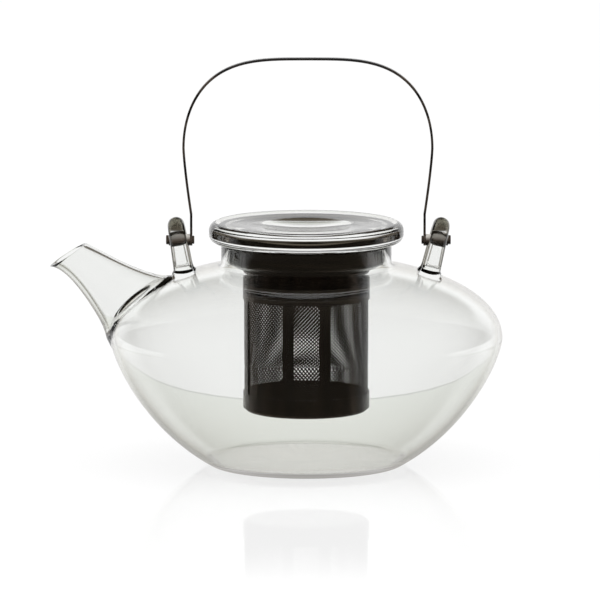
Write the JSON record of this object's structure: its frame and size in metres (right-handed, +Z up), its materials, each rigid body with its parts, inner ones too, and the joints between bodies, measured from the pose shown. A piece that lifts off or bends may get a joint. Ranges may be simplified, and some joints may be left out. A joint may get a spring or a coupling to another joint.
{
  "type": "teapot",
  "caption": "Clear glass teapot with a short spout, a thick disc lid, a thin dark steel swing bail on glass lugs and a lift-out steel infuser with perforated windows.",
  "frame": {"origin": "middle of the flat base, on the surface it stands on", "axes": "+Z up through the lid, -X towards the spout, the bail swings about an axis along X"},
  "size_m": [0.2083, 0.1806, 0.1887],
  "materials": {
    "glass": "clear, gloss",
    "lid_glass": "clear, gloss",
    "dark_steel": "polished, dark",
    "screen_steel": "perforated sheet"
  },
  "bodies": {
    "pot": {"bowl": "glass", "spout": "glass", "lug_left": "glass", "lug_right": "glass"},
    "infuser": {"infuser_rim": "dark_steel", "basket_sleeve": "dark_steel", "screen_front": "screen_steel", "screen_right": "screen_steel", "screen_back": "screen_steel", "screen_left": "screen_steel", "basket_bottom": "dark_steel"},
    "lid": {"lid": "lid_glass", "lid_ring": "lid_glass"},
    "bail": {"bail_strap": "dark_steel", "bush_left": "dark_steel", "bush_right": "dark_steel", "pin_left": "dark_steel", "pin_right": "dark_steel", "pin_cap_left": "dark_steel", "pin_cap_right": "dark_steel"}
  },
  "joints": [
    {"name": "bail_swing", "type": "hinge", "parent": "pot", "child": "bail", "pos_m": [0.00072, 0, 0.10448], "axis": [1, 0, 0], "range_deg": [-105, 105]},
    {"name": "infuser_lift", "type": "slide", "parent": "pot", "child": "infuser", "axis": [0, 0, 1], "range_m": [0, 0.06]},
    {"name": "lid_lift", "type": "slide", "parent": "infuser", "child": "lid", "axis": [0, 0, 1], "range_m": [0, 0.06]}
  ]
}
